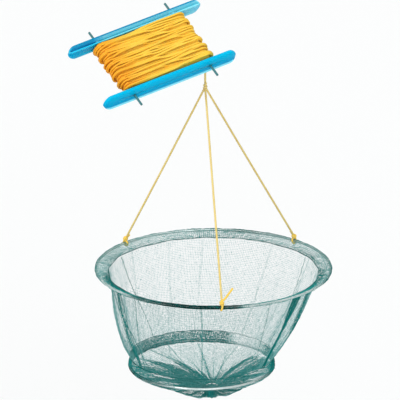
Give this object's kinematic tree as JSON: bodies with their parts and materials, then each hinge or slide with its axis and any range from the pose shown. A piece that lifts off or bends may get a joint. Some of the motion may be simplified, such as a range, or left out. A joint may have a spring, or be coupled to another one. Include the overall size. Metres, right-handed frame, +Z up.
{
  "type": "crab hoop net",
  "caption": "Tapered netting basket on wire hoops, hung by a knotted cord bridle from a hand line wound on a slim H-shaped winder.",
  "frame": {"origin": "middle of the line winder, where the hand holds it", "axes": "+Z up as the net hangs; +X to the right and -Y toward the viewer in the picture"},
  "size_m": [0.3344, 0.3051, 0.5097],
  "materials": {
    "blue_plastic": "gloss",
    "rod_plastic": "satin",
    "yellow_cord": "twisted polyethylene cord",
    "hoop_wire": "coated steel wire",
    "doubled_netting": "knotless netting, doubled",
    "netting": "knotless netting",
    "seam_cord": "bunched selvedge cord"
  },
  "bodies": {
    "winder": {"winder_rail_upper": "blue_plastic", "winder_rail_lower": "blue_plastic", "winder_rod_left": "rod_plastic", "winder_rod_right": "rod_plastic", "line_inner_layers": "yellow_cord", "line_winding": "yellow_cord"},
    "line": {"hand_line": "yellow_cord"},
    "basket": {"apex_knot": "yellow_cord", "bridle_leg_left": "yellow_cord", "bridle_leg_right": "yellow_cord", "bridle_leg_front": "yellow_cord", "bridle_knot_left": "yellow_cord", "bridle_knot_right": "yellow_cord", "bridle_knot_front": "yellow_cord", "upper_hoop": "hoop_wire", "upper_hem": "doubled_netting", "upper_hem_seam": "seam_cord", "net_wall": "netting"},
    "lower_ring": {"lower_hoop": "hoop_wire", "lower_hem": "doubled_netting", "lower_hem_seam": "seam_cord", "net_floor": "netting", "floor_gather": "netting", "floor_tie": "seam_cord"}
  },
  "joints": [
    {"name": "line_side_swing", "type": "hinge", "parent": "winder", "child": "line", "pos_m": [0.06521, 0.01136, -0.02247], "axis": [0, 1, 0], "range_deg": [-30, 30]},
    {"name": "basket_fore_aft_swing", "type": "hinge", "parent": "line", "child": "basket", "pos_m": [0.06521, 0.01136, -0.04757], "axis": [1, 0, 0], "range_deg": [-30, 30]},
    {"name": "hoop_collapse", "type": "slide", "parent": "basket", "child": "lower_ring", "axis": [0, 0, 1], "range_m": [0, 0.108], "deforming": ["net_wall"]}
  ]
}
